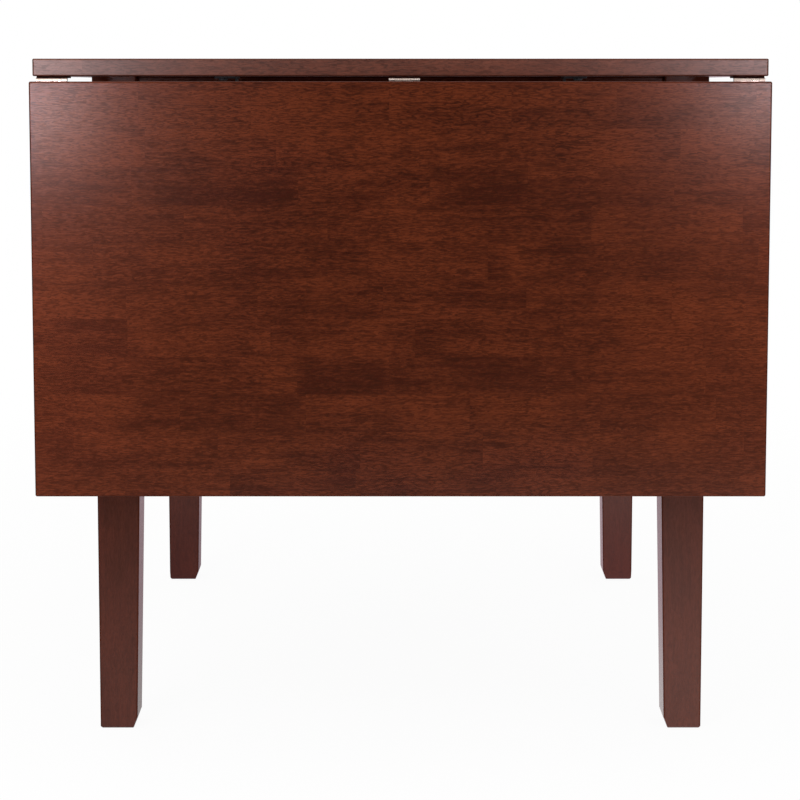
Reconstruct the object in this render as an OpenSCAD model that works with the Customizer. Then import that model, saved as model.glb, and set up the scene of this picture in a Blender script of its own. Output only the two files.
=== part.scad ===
// Drop-leaf dining table: a fixed top on four tapered legs, with one leaf hinged to its front edge.
// The leaf is drawn hanging. The front is -Y, up is +Z, the floor is z = 0 and x = 0 is the middle.
// Wood lengths follow the outside sizes. The hardware keeps its own sizes, as bought hardware does.

/* [Top and leaf] */
// Width of the top and of the leaf, along the hinges
table_width = 760; // [620:5:1000]
// Depth of the fixed top, from its hinge edge to its far edge
top_depth = 1038; // [850:1:1400]
// Depth of the leaf when it is raised
leaf_depth = 430; // [300:5:560]
// Height of the tabletop above the floor
table_height = 750; // [650:5:900]
// Thickness of the top and of the leaf, which lie level when the leaf is up
board_thickness = 18; // [16:0.5:30]
// Radius of the corners of the boards, seen from above
board_corner = 2; // [1.6:0.2:8]
// Radius of the eased edges of the boards
board_ease = 1.5; // [0.5:0.1:3]
// Gap left between the raised leaf and the top
leaf_gap = 0.5; // [0.2:0.1:1.5]

/* [Legs] */
// Width of a square leg above its taper
leg_width = 48.5; // [44:0.5:70]
// Width of a leg at the floor
foot_width = 41.5; // [30:0.5:43]
// Height at which the taper ends
taper_height = 340; // [200:5:560]
// Width of the flat cut on the inner corner of a foot
foot_cut_width = 4.5; // [2:0.5:10]
// Height of the flat cut on the inner corner of a foot
foot_cut_height = 13; // [4:1:30]
// Flat eased on the outer lower edges of a foot
foot_ease = 2; // [1:0.5:5]
// Overhang of the top beyond the legs at the two sides
side_overhang = 41.5; // [38:0.5:80]
// Overhang of the top beyond the legs at the hinge edge
hinge_overhang = 137; // [132:1:220]
// Overhang of the top beyond the legs at the far edge
far_overhang = 137; // [30:1:220]

/* [Aprons] */
// Height of the aprons
apron_height = 80; // [70:1:140]
// Thickness of the aprons
apron_thickness = 18; // [16:0.5:25]
// How far the aprons stand behind the outer faces of the legs
apron_setback = 12; // [4:0.5:14]

/* [Corner brackets] */
// Thickness of the bracket steel
bracket_thickness = 2; // [1.5:0.1:3]
// Height of a corner bracket
bracket_height = 50; // [40:1:62]
// Length of a bracket's flange along an apron
bracket_flange = 26; // [22:1:40]
// Distance along an apron from the leg to the bend of the bracket
bracket_start = 20; // [18:1:40]
// Distance between the two screws of a flange
bracket_screw_spacing = 30; // [20:1:32]
// Depth of the flat cut on a leg's inner corner, where its bolt goes in
leg_flat_depth = 7; // [4:0.5:12]
// Diameter of the hanger bolts
bolt_diameter = 8; // [6:0.5:8.5]
// Depth of the hanger bolts in the legs
bolt_grip = 40; // [25:1:45]
// Width of the nuts across their flats
nut_width = 13; // [12:0.5:16]
// Height of the nuts
nut_height = 6.5; // [4:0.5:8]
// Outer diameter of the bolt washers
bolt_washer_diameter = 18; // [15:0.5:22]
// Thickness of the bolt washers
bolt_washer_thickness = 1.6; // [1:0.1:2.5]
// Length of bolt that stands out of its nut
bolt_end = 5; // [1:0.5:12]

/* [Top clips] */
// Width of a top clip
clip_width = 16; // [12:1:24]
// Length of each side of a top clip
clip_side = 22; // [18:1:30]
// Thickness of the clip steel
clip_thickness = 1.5; // [1:0.1:2.5]
// Number of clips on each side apron
side_clip_count = 3; // [2:1:6]

/* [Leaf hinges] */
// Drop of the hinge pins below the underside of the top
pin_drop = 5; // [4:0.1:8]
// Diameter of the hinge barrel
barrel_diameter = 6; // [5:0.1:7.6]
// Diameter of the hinge pin
pin_diameter = 3; // [2:0.1:3.2]
// Width of a hinge along its pin
hinge_width = 32; // [28:1:50]
// Length of a hinge plate from the pin to its free edge
hinge_reach = 28; // [26:1:40]
// Thickness of the hinge plates
hinge_plate = 2; // [1.2:0.1:2]
// Distance from the table's ends to the outer hinges
hinge_margin = 4; // [2:0.5:60]
// Offset of the middle hinge from the middle of the width
middle_hinge_offset = 4; // [-20:1:20]
// Gap between neighbouring knuckles
knuckle_gap = 0.2; // [0.1:0.05:0.4]

/* [Leaf stays] */
// Distance of the stay planes from the middle of the width
stay_x = 170; // [60:5:230]
// Distance from the hinge pin to the stay's pivot and to its stud
stay_radius = 74; // [70:0.5:76]
// Angle of the stud below the level of the hinge pin
stud_angle = 40; // [36:0.5:46]
// Distance of the stay's pivot from the face of the leaf
pivot_offset = 10; // [9:0.5:14]
// Width of the stay arm
arm_width = 15; // [14:0.5:16]
// Thickness of the stay arm
arm_thickness = 2.5; // [1.5:0.1:4]
// Diameter of the pivot rivet's shank
rivet_diameter = 6; // [4:0.5:7]
// Diameter of the stud's shoulder, which runs in the slot
stud_diameter = 6; // [4:0.5:6.5]
// Depth of the notch that holds the stud when the leaf is up
notch_depth = 2; // [1:0.1:2.4]
// Thickness of the stay brackets' steel
stay_plate = 2; // [1.5:0.1:3]
// Width of the stay brackets' base across the table
stay_base_width = 24; // [20:1:40]
// Length of the stay brackets' base
stay_base_length = 44; // [36:1:50]
// Width of the ear that carries a pivot or a stud
stay_ear_width = 16; // [14:0.5:20]
// Thickness of the washers between an ear and its arm
stay_washer = 0.8; // [0.5:0.1:1.5]
// Diameter of those washers
stay_washer_diameter = 12; // [10:0.5:14]

/* [Screws] */
// Diameter of the wood screws' shanks
screw_diameter = 3.2; // [2.5:0.1:3.6]
// Length of a wood screw
screw_length = 14; // [10:0.5:14]
// Diameter of the countersunk heads
countersunk_diameter = 6; // [5:0.1:6.6]
// Diameter of the pan heads
pan_diameter = 7.2; // [6:0.1:8]
// Height of the pan heads
pan_height = 2.2; // [1.5:0.1:2.6]

/* [Hidden] */
$fn = 64;

// Finishes
WALNUT = [0.33, 0.17, 0.11];
WALNUT_DARK = [0.27, 0.15, 0.11];
HINGE_BRASS = [0.83, 0.66, 0.52];
ZINC = [0.72, 0.73, 0.74];
BLACK_STEEL = [0.12, 0.12, 0.13];

// Clearances
running_gap = 0.05;
pilot_gap = 0.15;
loose_gap = 0.2;
slot_gap = 0.3;
stud_play = 0.15;
cut_over = 1;
skin = 0.01;

// Overall places, from the driving dimensions
hanging_depth = pin_drop + board_thickness;
total_depth = top_depth + hanging_depth;
hinge_y = hanging_depth - total_depth / 2;
underside_z = table_height - board_thickness;
pin_z = underside_z - pin_drop;
frame_half_width = table_width / 2 - side_overhang;
frame_front_y = hinge_y + hinge_overhang;
frame_rear_y = hinge_y + top_depth - far_overhang;

// Aprons, measured from the outer corner of a leg
apron_inner = apron_setback + apron_thickness;
apron_mid_z = underside_z - apron_height / 2;
side_apron_length = frame_rear_y - frame_front_y - 2 * leg_width;
end_apron_length = 2 * (frame_half_width - leg_width);

// Corner brackets, measured along the diagonal from where the aprons' inner faces meet
leg_stands_in = leg_width - apron_inner;
bend_at = leg_stands_in + bracket_start;
bracket_face = bend_at / sqrt(2);
leg_flat_face = leg_stands_in * sqrt(2) - leg_flat_depth;
bracket_screw_at = bend_at + bracket_flange / 2 + bracket_thickness;

// Hinges
hinge_xs = [
    -table_width / 2 + hinge_margin + hinge_width / 2,
    middle_hinge_offset,
    table_width / 2 - hinge_margin - hinge_width / 2
];
knuckle_count = 5;
knuckle_length = (hinge_width - (knuckle_count - 1) * knuckle_gap) / knuckle_count;
barrel_radius = barrel_diameter / 2;
crank_start = 1.5;
crank_end = crank_start + pin_drop - barrel_radius;
plate_start = crank_end + 0.8;
plate_corner = 2;
outer_screw_inset = 6.5;
inner_screw_at = plate_start + countersunk_diameter / 2 + 2.5;
hinge_screw_spots = [
    [-hinge_width / 2 + outer_screw_inset, hinge_reach - outer_screw_inset],
    [hinge_width / 2 - outer_screw_inset, hinge_reach - outer_screw_inset],
    [0, inner_screw_at]
];

// Stays, as [y, z] from the hinge pin with the leaf raised. The pivot and the stud are equally far
// from the pin, so the arm always turns half as far as the leaf.
pivot_up_z = pin_drop - pivot_offset;
pivot_up = [-sqrt(stay_radius * stay_radius - pivot_up_z * pivot_up_z), pivot_up_z];
pivot_down = [-pivot_up[1], pivot_up[0]];
stud = stay_radius * [cos(stud_angle), -sin(stud_angle)];
reach_down = norm(stud - pivot_down);
reach_up = norm(stud - pivot_up);
arm_angle = atan2(stud[1] - pivot_down[1], stud[0] - pivot_down[0]);
slot_radius = stud_diameter / 2 + slot_gap;
arm_radius = arm_width / 2;
ear_x = arm_thickness / 2 + stud_play + stay_washer;
arm_end_margin = 3.8;
rivet_head_diameter = 11;
rivet_head_height = 1.6;
rivet_set_diameter = 9;
rivet_set_top_diameter = 6.6;
stud_head_diameter = 12;
stud_head_height = 2;
stud_thread_diameter = 5;
stud_nut_width = 8;
stud_nut_height = 4;
stud_thread_end = 1;
stay_screw_inset = 8;
stay_screw_spacing = stay_base_length - 2 * stay_screw_inset;
stay_screw_x = ear_x + stay_base_width - stay_screw_inset;
stay_base_shift = 8;
stay_top_base_y = stud[0] + stay_base_shift;

// Screw details
screw_tip_length = 3;
screw_tip_radius = 0.2;
pan_rim = 1.3;
pan_crown_diameter = 5.4;
recess_width = 0.9;
recess_length = 3.2;
recess_depth = 1.1;

// Places of the clips, as [x, y, angle]: each clip is drawn on the inner face of the front apron
clip_spots = concat(
    [[0, frame_front_y + apron_inner, 0], [0, frame_rear_y - apron_inner, 180]],
    [
        for (side = [-1, 1], i = [1 : side_clip_count])
            [
                side * (frame_half_width - apron_inner),
                frame_front_y + leg_width + side_apron_length * (i - 0.5) / side_clip_count,
                side < 0 ? -90 : 90
            ]
    ]
);
clip_hole_inset = 8;
clip_hole_at = clip_side - clip_hole_inset;

// Plane shapes
module rounded_rectangle(width, depth, radius) {
    square([width - 2 * radius, depth], center = true);
    square([width, depth - 2 * radius], center = true);
    for (x = [-1, 1], y = [-1, 1])
        translate([x * (width / 2 - radius), y * (depth / 2 - radius)])
            circle(radius);
}

// A length of bar with round ends, from its first centre to its second
module rounded_bar(length, radius) {
    translate([0, -radius]) square([length, 2 * radius]);
    circle(radius);
    translate([length, 0]) circle(radius);
}

// Extrudes a drawing of [y, z] along x, centred on x = 0
module along_x(length) {
    rotate([90, 0, 90]) linear_extrude(length, center = true) children();
}

// Extrudes a drawing of [x, z] along y, centred on y = 0
module along_y(length) {
    rotate([90, 0, 0]) linear_extrude(length, center = true) children();
}

// A board with rounded corners and eased edges, centred on the origin
module eased_board(width, depth, thickness) {
    intersection() {
        linear_extrude(thickness, center = true)
            rounded_rectangle(width, depth, board_corner);
        along_x(width + cut_over) rounded_rectangle(depth, thickness, board_ease);
        along_y(depth + cut_over) rounded_rectangle(width, thickness, board_ease);
    }
}

// Screws point up, with the underside of a pan head or the face of a countersunk head at z = 0
module cross_recess() {
    for (turn = [0, 90])
        rotate([0, 0, turn])
            cube([recess_length, recess_width, 2 * recess_depth], center = true);
}

module screw_shank() {
    cylinder(h = screw_length - screw_tip_length, r = screw_diameter / 2);
    translate([0, 0, screw_length - screw_tip_length])
        cylinder(h = screw_tip_length, r1 = screw_diameter / 2, r2 = screw_tip_radius);
}

module countersunk_screw() {
    head = countersunk_diameter / 2;
    difference() {
        union() {
            cylinder(h = head - screw_diameter / 2, r1 = head, r2 = screw_diameter / 2);
            screw_shank();
        }
        cross_recess();
    }
}

module pan_screw() {
    difference() {
        union() {
            translate([0, 0, -pan_height])
                cylinder(
                    h = pan_height - pan_rim,
                    r1 = pan_crown_diameter / 2,
                    r2 = pan_diameter / 2
                );
            translate([0, 0, -pan_rim]) cylinder(h = pan_rim, r = pan_diameter / 2);
            screw_shank();
        }
        translate([0, 0, -pan_height]) cross_recess();
    }
}

// The hole for a screw, which starts a little below z = 0
module pilot_hole() {
    translate([0, 0, -cut_over])
        cylinder(h = screw_length + cut_over + pilot_gap, r = screw_diameter / 2 + pilot_gap);
}

module countersunk_hole() {
    head = countersunk_diameter / 2 + loose_gap / 2;
    translate([0, 0, -skin])
        cylinder(h = head - screw_diameter / 2, r1 = head, r2 = screw_diameter / 2);
    pilot_hole();
}

// A nut on z = 0
module hexagon_nut(width, height, bore) {
    difference() {
        cylinder(h = height, r = width / 2 / cos(30), $fn = 6);
        translate([0, 0, -cut_over]) cylinder(h = height + 2 * cut_over, r = bore / 2 + running_gap);
    }
}

// A flat ring on z = 0
module flat_washer(diameter, thickness, bore) {
    difference() {
        cylinder(h = thickness, r = diameter / 2);
        translate([0, 0, -cut_over])
            cylinder(h = thickness + 2 * cut_over, r = bore / 2 + running_gap);
    }
}

// Places for what is drawn from the hinge pin
module at_pin() {
    translate([0, hinge_y, pin_z]) children();
}

// What is drawn with the leaf raised, turned down to where the leaf hangs
module hanging() {
    at_pin() rotate([90, 0, 0]) children();
}

// Screws of the stay brackets: base_y is the middle of the base
module stay_screw_places(base_y) {
    for (side = [-1, 1], end = [-1, 1])
        translate([
            side * (stay_x + stay_screw_x),
            base_y + end * stay_screw_spacing / 2,
            pin_drop - stay_plate
        ])
            children();
}

// Clips and their screws: drawn with the apron's face on y = 0 and the top's underside on z = 0
module each_clip() {
    for (spot = clip_spots)
        translate([spot[0], spot[1], underside_z]) rotate([0, 0, spot[2]]) children();
}

module clip_screw_up() {
    translate([0, clip_hole_at, -clip_thickness]) children();
}

module clip_screw_out() {
    translate([0, clip_thickness, -clip_hole_at]) rotate([90, 0, 0]) children();
}

// Corners of the frame: drawn with the leg's outer corner at the origin and the table at +x, +y
module corner(side, end) {
    translate([side * frame_half_width, end < 0 ? frame_front_y : frame_rear_y, 0])
        mirror([side > 0 ? 1 : 0, 0, 0])
            mirror([0, end > 0 ? 1 : 0, 0])
                children();
}

module each_corner() {
    for (side = [-1, 1], end = [-1, 1]) corner(side, end) children();
}

// Along the corner's diagonal, with z = 0 where the aprons' inner faces meet
module along_diagonal() {
    translate([apron_inner, apron_inner, apron_mid_z])
        rotate([0, 0, 45]) rotate([0, 90, 0]) children();
}

// The screws of a corner bracket, which point into the two aprons
module bracket_screw_places() {
    translate([apron_inner, apron_inner, apron_mid_z])
        for (z = [-0.5, 0.5] * bracket_screw_spacing) {
            translate([bracket_screw_at, bracket_thickness, z]) rotate([90, 0, 0]) children();
            translate([bracket_thickness, bracket_screw_at, z]) rotate([0, -90, 0]) children();
        }
}

// Boards
module fixed_top() {
    color(WALNUT)
        difference() {
            translate([0, hinge_y + top_depth / 2, table_height - board_thickness / 2])
                eased_board(table_width, top_depth, board_thickness);
            at_pin()
                for (x = hinge_xs, spot = hinge_screw_spots)
                    translate([x + spot[0], spot[1], pin_drop - hinge_plate]) pilot_hole();
            at_pin() stay_screw_places(stay_top_base_y) pilot_hole();
            each_clip() clip_screw_up() pilot_hole();
        }
}

module drop_leaf() {
    color(WALNUT)
        hanging()
            difference() {
                translate([0, -leaf_gap - leaf_depth / 2, pin_drop + board_thickness / 2])
                    eased_board(table_width, leaf_depth, board_thickness);
                for (x = hinge_xs, spot = hinge_screw_spots)
                    translate([x + spot[0], -spot[1], pin_drop - hinge_plate]) pilot_hole();
                stay_screw_places(pivot_up[0]) pilot_hole();
            }
}

// Legs: square above the taper, with the two inner faces tapered below it
module leg_side() {
    polygon([
        [foot_ease, 0],
        [foot_width - foot_cut_width, 0],
        [foot_width + (leg_width - foot_width) * foot_cut_height / taper_height, foot_cut_height],
        [leg_width, taper_height],
        [leg_width, underside_z],
        [0, underside_z],
        [0, foot_ease]
    ]);
}

module leg(side, end) {
    color(WALNUT_DARK)
        corner(side, end)
            difference() {
                intersection() {
                    translate([0, leg_width / 2, 0]) along_y(leg_width + cut_over) leg_side();
                    translate([leg_width / 2, 0, 0]) along_x(leg_width + cut_over) leg_side();
                }
                along_diagonal()
                    translate([0, 0, leg_flat_face + leg_width / 2])
                        cube([apron_height, leg_width, leg_width], center = true);
                along_diagonal()
                    translate([0, 0, leg_flat_face - bolt_grip - pilot_gap])
                        cylinder(h = bolt_grip + leg_width, r = bolt_diameter / 2 + pilot_gap);
            }
}

// Aprons
module screw_holes_in_aprons() {
    each_corner() bracket_screw_places() pilot_hole();
    each_clip() clip_screw_out() pilot_hole();
}

module end_apron(end) {
    outer_y = end < 0 ? frame_front_y + apron_setback : frame_rear_y - apron_setback;
    color(WALNUT_DARK)
        difference() {
            translate([0, outer_y - end * apron_thickness / 2, apron_mid_z])
                cube([end_apron_length, apron_thickness, apron_height], center = true);
            screw_holes_in_aprons();
        }
}

module side_apron(side) {
    outer_x = frame_half_width - apron_setback;
    color(WALNUT_DARK)
        difference() {
            translate([
                side * (outer_x - apron_thickness / 2),
                (frame_front_y + frame_rear_y) / 2,
                apron_mid_z
            ])
                cube([apron_thickness, side_apron_length, apron_height], center = true);
            screw_holes_in_aprons();
        }
}

// Corner brackets: a strip folded flat on one apron, across the corner and flat on the other apron
module corner_bracket(side, end) {
    far = bend_at + bracket_flange;
    fold = bend_at + bracket_thickness * (sqrt(2) - 1);
    color(ZINC)
        corner(side, end)
            difference() {
                translate([apron_inner, apron_inner, apron_mid_z])
                    linear_extrude(bracket_height, center = true)
                        polygon([
                            [far, 0], [bend_at, 0], [0, bend_at], [0, far],
                            [bracket_thickness, far], [bracket_thickness, fold],
                            [fold, bracket_thickness], [far, bracket_thickness]
                        ]);
                along_diagonal()
                    cylinder(h = bracket_face + leg_width, r = bolt_diameter / 2 + loose_gap);
                bracket_screw_places() pilot_hole();
            }
}

module hanger_bolts() {
    stack = bracket_thickness + bolt_washer_thickness + nut_height + bolt_end;
    color(ZINC)
        each_corner()
            along_diagonal()
                translate([0, 0, leg_flat_face - bolt_grip])
                    cylinder(h = bolt_grip + bracket_face - leg_flat_face + stack,
                        r = bolt_diameter / 2);
}

module bolt_washers() {
    color(ZINC)
        each_corner()
            along_diagonal()
                translate([0, 0, bracket_face + bracket_thickness])
                    flat_washer(bolt_washer_diameter, bolt_washer_thickness, bolt_diameter);
}

module bolt_nuts() {
    color(ZINC)
        each_corner()
            along_diagonal()
                translate([0, 0, bracket_face + bracket_thickness + bolt_washer_thickness])
                    hexagon_nut(nut_width, nut_height, bolt_diameter);
}

module corner_bracket_screws() {
    color(ZINC) each_corner() bracket_screw_places() pan_screw();
}

// Clips that hold the top down on the aprons
module top_clips() {
    color(ZINC)
        each_clip()
            difference() {
                along_x(clip_width)
                    polygon([
                        [0, 0], [clip_side, 0], [clip_side, -clip_thickness],
                        [clip_thickness, -clip_thickness], [clip_thickness, -clip_side],
                        [0, -clip_side]
                    ]);
                clip_screw_up() pilot_hole();
                clip_screw_out() pilot_hole();
            }
}

module clip_screws_to_top() {
    color(ZINC) each_clip() clip_screw_up() pan_screw();
}

module clip_screws_to_aprons() {
    color(ZINC) each_clip() clip_screw_out() pan_screw();
}

// Hinges: a plate cranked down to the pin, with its share of the five knuckles
module hinge_section() {
    bend = hinge_plate * tan(22.5);
    difference() {
        union() {
            circle(barrel_radius);
            polygon([
                [0, barrel_radius],
                [crank_start, barrel_radius],
                [crank_end, pin_drop],
                [hinge_reach / 2, pin_drop],
                [hinge_reach / 2, pin_drop - hinge_plate],
                [crank_end + bend, pin_drop - hinge_plate],
                [crank_start + bend, barrel_radius - hinge_plate],
                [0, barrel_radius - hinge_plate]
            ]);
        }
        circle(pin_diameter / 2 + running_gap);
    }
}

module hinge_half(first_knuckle) {
    plate_depth = hinge_reach - plate_start;
    difference() {
        union() {
            for (i = [first_knuckle : 2 : knuckle_count - 1])
                translate([
                    -hinge_width / 2 + i * (knuckle_length + knuckle_gap) + knuckle_length / 2,
                    0, 0
                ])
                    along_x(knuckle_length) hinge_section();
            translate([0, plate_start + plate_depth / 2, pin_drop - hinge_plate])
                linear_extrude(hinge_plate)
                    rounded_rectangle(hinge_width, plate_depth, plate_corner);
        }
        for (spot = hinge_screw_spots)
            translate([spot[0], spot[1], pin_drop - hinge_plate]) countersunk_hole();
    }
}

module hinge_top_plate(index) {
    color(HINGE_BRASS) at_pin() translate([hinge_xs[index], 0, 0]) hinge_half(0);
}

module hinge_leaf_plate(index) {
    color(HINGE_BRASS)
        hanging() translate([hinge_xs[index], 0, 0]) mirror([0, 1, 0]) hinge_half(1);
}

module hinge_pin(index) {
    color(HINGE_BRASS)
        at_pin()
            translate([hinge_xs[index], 0, 0])
                rotate([0, 90, 0])
                    cylinder(h = hinge_width, r = pin_diameter / 2, center = true);
}

module hinge_top_screws() {
    color(HINGE_BRASS)
        at_pin()
            for (x = hinge_xs, spot = hinge_screw_spots)
                translate([x + spot[0], spot[1], pin_drop - hinge_plate]) countersunk_screw();
}

module hinge_leaf_screws() {
    color(HINGE_BRASS)
        hanging()
            for (x = hinge_xs, spot = hinge_screw_spots)
                translate([x + spot[0], -spot[1], pin_drop - hinge_plate]) countersunk_screw();
}

// Stays are drawn for the right side, with x = 0 in the middle of the arm
module stay_side(side) {
    mirror([side < 0 ? 1 : 0, 0, 0]) translate([stay_x, 0, 0]) children();
}

// Turns what is drawn up from z = 0 to point away from the arm, at an ear
module out_of_ear(centre) {
    translate([0, centre[0], centre[1]]) rotate([0, 90, 0]) children();
}

// A base under a board with an ear that comes down from it to the centre of a pivot or a stud
module stay_bracket(centre, base_y, bore) {
    difference() {
        union() {
            translate([ear_x + stay_base_width / 2, base_y, pin_drop - stay_plate])
                linear_extrude(stay_plate)
                    rounded_rectangle(stay_base_width, stay_base_length, plate_corner);
            translate([ear_x + stay_plate / 2, 0, 0])
                along_x(stay_plate) {
                    translate(centre) circle(stay_ear_width / 2);
                    translate([centre[0] - stay_ear_width / 2, centre[1]])
                        square([stay_ear_width, pin_drop - centre[1]]);
                }
        }
        out_of_ear(centre) cylinder(h = ear_x + 2 * stay_plate, r = bore / 2 + running_gap);
        for (end = [-1, 1])
            translate([stay_screw_x, base_y + end * stay_screw_spacing / 2, pin_drop - stay_plate])
                pilot_hole();
    }
}

module stay_top_bracket(side) {
    color(BLACK_STEEL)
        at_pin() stay_side(side) stay_bracket(stud, stay_top_base_y, stud_thread_diameter);
}

module stay_leaf_bracket(side) {
    color(BLACK_STEEL)
        hanging() stay_side(side) stay_bracket(pivot_up, pivot_up[0], rivet_diameter);
}

// The arm, turned to where its slot lies on the stud with the leaf down
module stay_arm(side) {
    slot_start = reach_down - slot_gap;
    slot_length = reach_up - slot_start + slot_gap;
    arm_length = slot_start + slot_length + slot_radius + arm_end_margin - arm_radius;
    color(BLACK_STEEL)
        at_pin()
            stay_side(side)
                translate([0, pivot_down[0], pivot_down[1]])
                    rotate([arm_angle, 0, 0])
                        along_x(arm_thickness)
                            difference() {
                                rounded_bar(arm_length, arm_radius);
                                circle(rivet_diameter / 2 + running_gap);
                                translate([slot_start, 0]) rounded_bar(slot_length, slot_radius);
                                translate([reach_up, notch_depth]) circle(slot_radius);
                            }
}

// The stud: a head beside the arm, a shoulder through the slot and a thread through the ear
module stay_stud(side) {
    shoulder_start = -arm_thickness / 2 - stud_play;
    color(ZINC)
        at_pin()
            stay_side(side)
                out_of_ear(stud) {
                    translate([0, 0, shoulder_start - stud_head_height])
                        cylinder(h = stud_head_height, r = stud_head_diameter / 2);
                    translate([0, 0, shoulder_start])
                        cylinder(h = ear_x - shoulder_start, r = stud_diameter / 2);
                    translate([0, 0, ear_x])
                        cylinder(
                            h = stay_plate + stud_nut_height + stud_thread_end,
                            r = stud_thread_diameter / 2
                        );
                }
}

// The pivot: a rivet through the arm and the ear
module stay_pivot(side) {
    shank_start = -arm_thickness / 2 - stud_play;
    shank_end = ear_x + stay_plate;
    color(ZINC)
        hanging()
            stay_side(side)
                out_of_ear(pivot_up) {
                    translate([0, 0, shank_start - rivet_head_height])
                        cylinder(h = rivet_head_height, r = rivet_head_diameter / 2);
                    translate([0, 0, shank_start])
                        cylinder(h = shank_end - shank_start, r = rivet_diameter / 2);
                    translate([0, 0, shank_end])
                        cylinder(
                            h = rivet_head_height,
                            r1 = rivet_set_diameter / 2,
                            r2 = rivet_set_top_diameter / 2
                        );
                }
}

module stay_stud_nuts() {
    color(ZINC)
        at_pin()
            for (side = [-1, 1])
                stay_side(side)
                    out_of_ear(stud)
                        translate([0, 0, ear_x + stay_plate])
                            hexagon_nut(stud_nut_width, stud_nut_height, stud_thread_diameter);
}

module stay_stud_washers() {
    color(ZINC)
        at_pin()
            for (side = [-1, 1])
                stay_side(side)
                    out_of_ear(stud)
                        translate([0, 0, ear_x - stay_washer])
                            flat_washer(stay_washer_diameter, stay_washer, stud_diameter);
}

module stay_pivot_washers() {
    color(ZINC)
        hanging()
            for (side = [-1, 1])
                stay_side(side)
                    out_of_ear(pivot_up)
                        translate([0, 0, ear_x - stay_washer])
                            flat_washer(stay_washer_diameter, stay_washer, rivet_diameter);
}

module stay_top_screws() {
    color(BLACK_STEEL) at_pin() stay_screw_places(stay_top_base_y) pan_screw();
}

module stay_leaf_screws() {
    color(BLACK_STEEL) hanging() stay_screw_places(pivot_up[0]) pan_screw();
}

fixed_top();
drop_leaf();
leg(-1, -1);  // leg_front_left
leg(1, -1);  // leg_front_right
leg(-1, 1);  // leg_rear_left
leg(1, 1);  // leg_rear_right
end_apron(-1);  // apron_front
end_apron(1);  // apron_rear
side_apron(-1);  // apron_left
side_apron(1);  // apron_right
corner_bracket(-1, -1);  // corner_bracket_front_left
corner_bracket(1, -1);  // corner_bracket_front_right
corner_bracket(-1, 1);  // corner_bracket_rear_left
corner_bracket(1, 1);  // corner_bracket_rear_right
hanger_bolts();
bolt_washers();
bolt_nuts();
corner_bracket_screws();
top_clips();
clip_screws_to_top();
clip_screws_to_aprons();
hinge_top_plate(0);  // hinge_top_plate_left
hinge_top_plate(1);  // hinge_top_plate_middle
hinge_top_plate(2);  // hinge_top_plate_right
hinge_leaf_plate(0);  // hinge_leaf_plate_left
hinge_leaf_plate(1);  // hinge_leaf_plate_middle
hinge_leaf_plate(2);  // hinge_leaf_plate_right
hinge_pin(0);  // hinge_pin_left
hinge_pin(1);  // hinge_pin_middle
hinge_pin(2);  // hinge_pin_right
hinge_top_screws();
hinge_leaf_screws();
stay_top_bracket(-1);  // stay_top_bracket_left
stay_top_bracket(1);  // stay_top_bracket_right
stay_leaf_bracket(-1);  // stay_leaf_bracket_left
stay_leaf_bracket(1);  // stay_leaf_bracket_right
stay_arm(-1);  // stay_arm_left
stay_arm(1);  // stay_arm_right
stay_stud(-1);  // stay_stud_left
stay_stud(1);  // stay_stud_right
stay_pivot(-1);  // stay_pivot_left
stay_pivot(1);  // stay_pivot_right
stay_stud_nuts();
stay_stud_washers();
stay_pivot_washers();
stay_top_screws();
stay_leaf_screws();
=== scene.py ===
import math

import bmesh
import bpy
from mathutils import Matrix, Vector


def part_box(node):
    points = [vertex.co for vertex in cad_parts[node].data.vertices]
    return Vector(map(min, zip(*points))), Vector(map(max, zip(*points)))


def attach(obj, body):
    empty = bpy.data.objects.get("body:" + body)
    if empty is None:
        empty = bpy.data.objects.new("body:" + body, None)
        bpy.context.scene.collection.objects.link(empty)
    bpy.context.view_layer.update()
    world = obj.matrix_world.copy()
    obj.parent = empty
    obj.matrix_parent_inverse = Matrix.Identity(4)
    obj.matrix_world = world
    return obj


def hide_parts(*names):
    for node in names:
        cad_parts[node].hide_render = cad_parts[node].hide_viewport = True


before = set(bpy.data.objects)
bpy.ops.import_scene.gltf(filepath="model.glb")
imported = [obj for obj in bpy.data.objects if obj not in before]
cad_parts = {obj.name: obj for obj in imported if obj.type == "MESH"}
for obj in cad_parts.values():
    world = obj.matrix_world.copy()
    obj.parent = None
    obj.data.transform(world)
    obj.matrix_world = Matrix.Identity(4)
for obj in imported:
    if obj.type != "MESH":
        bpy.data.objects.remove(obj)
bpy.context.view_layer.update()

# Legs
# Four legs of stained rubberwood, each sawn from a square blank. The two inner faces are tapered,
# the inner corner of the foot is cut away, and the arrises are eased with fine paper.
leg_wide = 0.0485
foot_wide = 0.0415
taper_top = 0.340
foot_cut_wide = 0.0045
foot_cut_high = 0.013
foot_eased = 0.002
leg_arris = 0.0010
corner_flat = 0.0386
apron_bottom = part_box("apron_front")[0].z
leg_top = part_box("leg_front_left")[1].z
leg_outer_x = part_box("leg_front_right")[1].x
legs_front_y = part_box("leg_front_left")[0].y
legs_rear_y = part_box("leg_rear_left")[1].y
clear_turn = math.radians(30)
soft_turn = math.radians(38)
square_turn = math.radians(60)
pore_stain = (0.018, 0.0034, 0.0017, 1.0)
arris_reach = 0.0022
# Under the lacquer a planed face shines in the red of its own fibres.
planed_shine = {
    "Specular IOR Level": 0.82, "Specular Tint": (1.0, 0.22, 0.08, 1.0), "Coat Roughness": 0.21}


def node(tree, kind, sockets=None, **settings):
    """One shader node with its settings, and what each socket holds or is fed by."""
    made = tree.nodes.new("ShaderNode" + kind)
    for name, value in settings.items():
        setattr(made, name, value)
    for name, value in (sockets or {}).items():
        if isinstance(value, bpy.types.NodeSocket):
            tree.links.new(value, made.inputs[name])
        else:
            made.inputs[name].default_value = value
    return made


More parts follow.
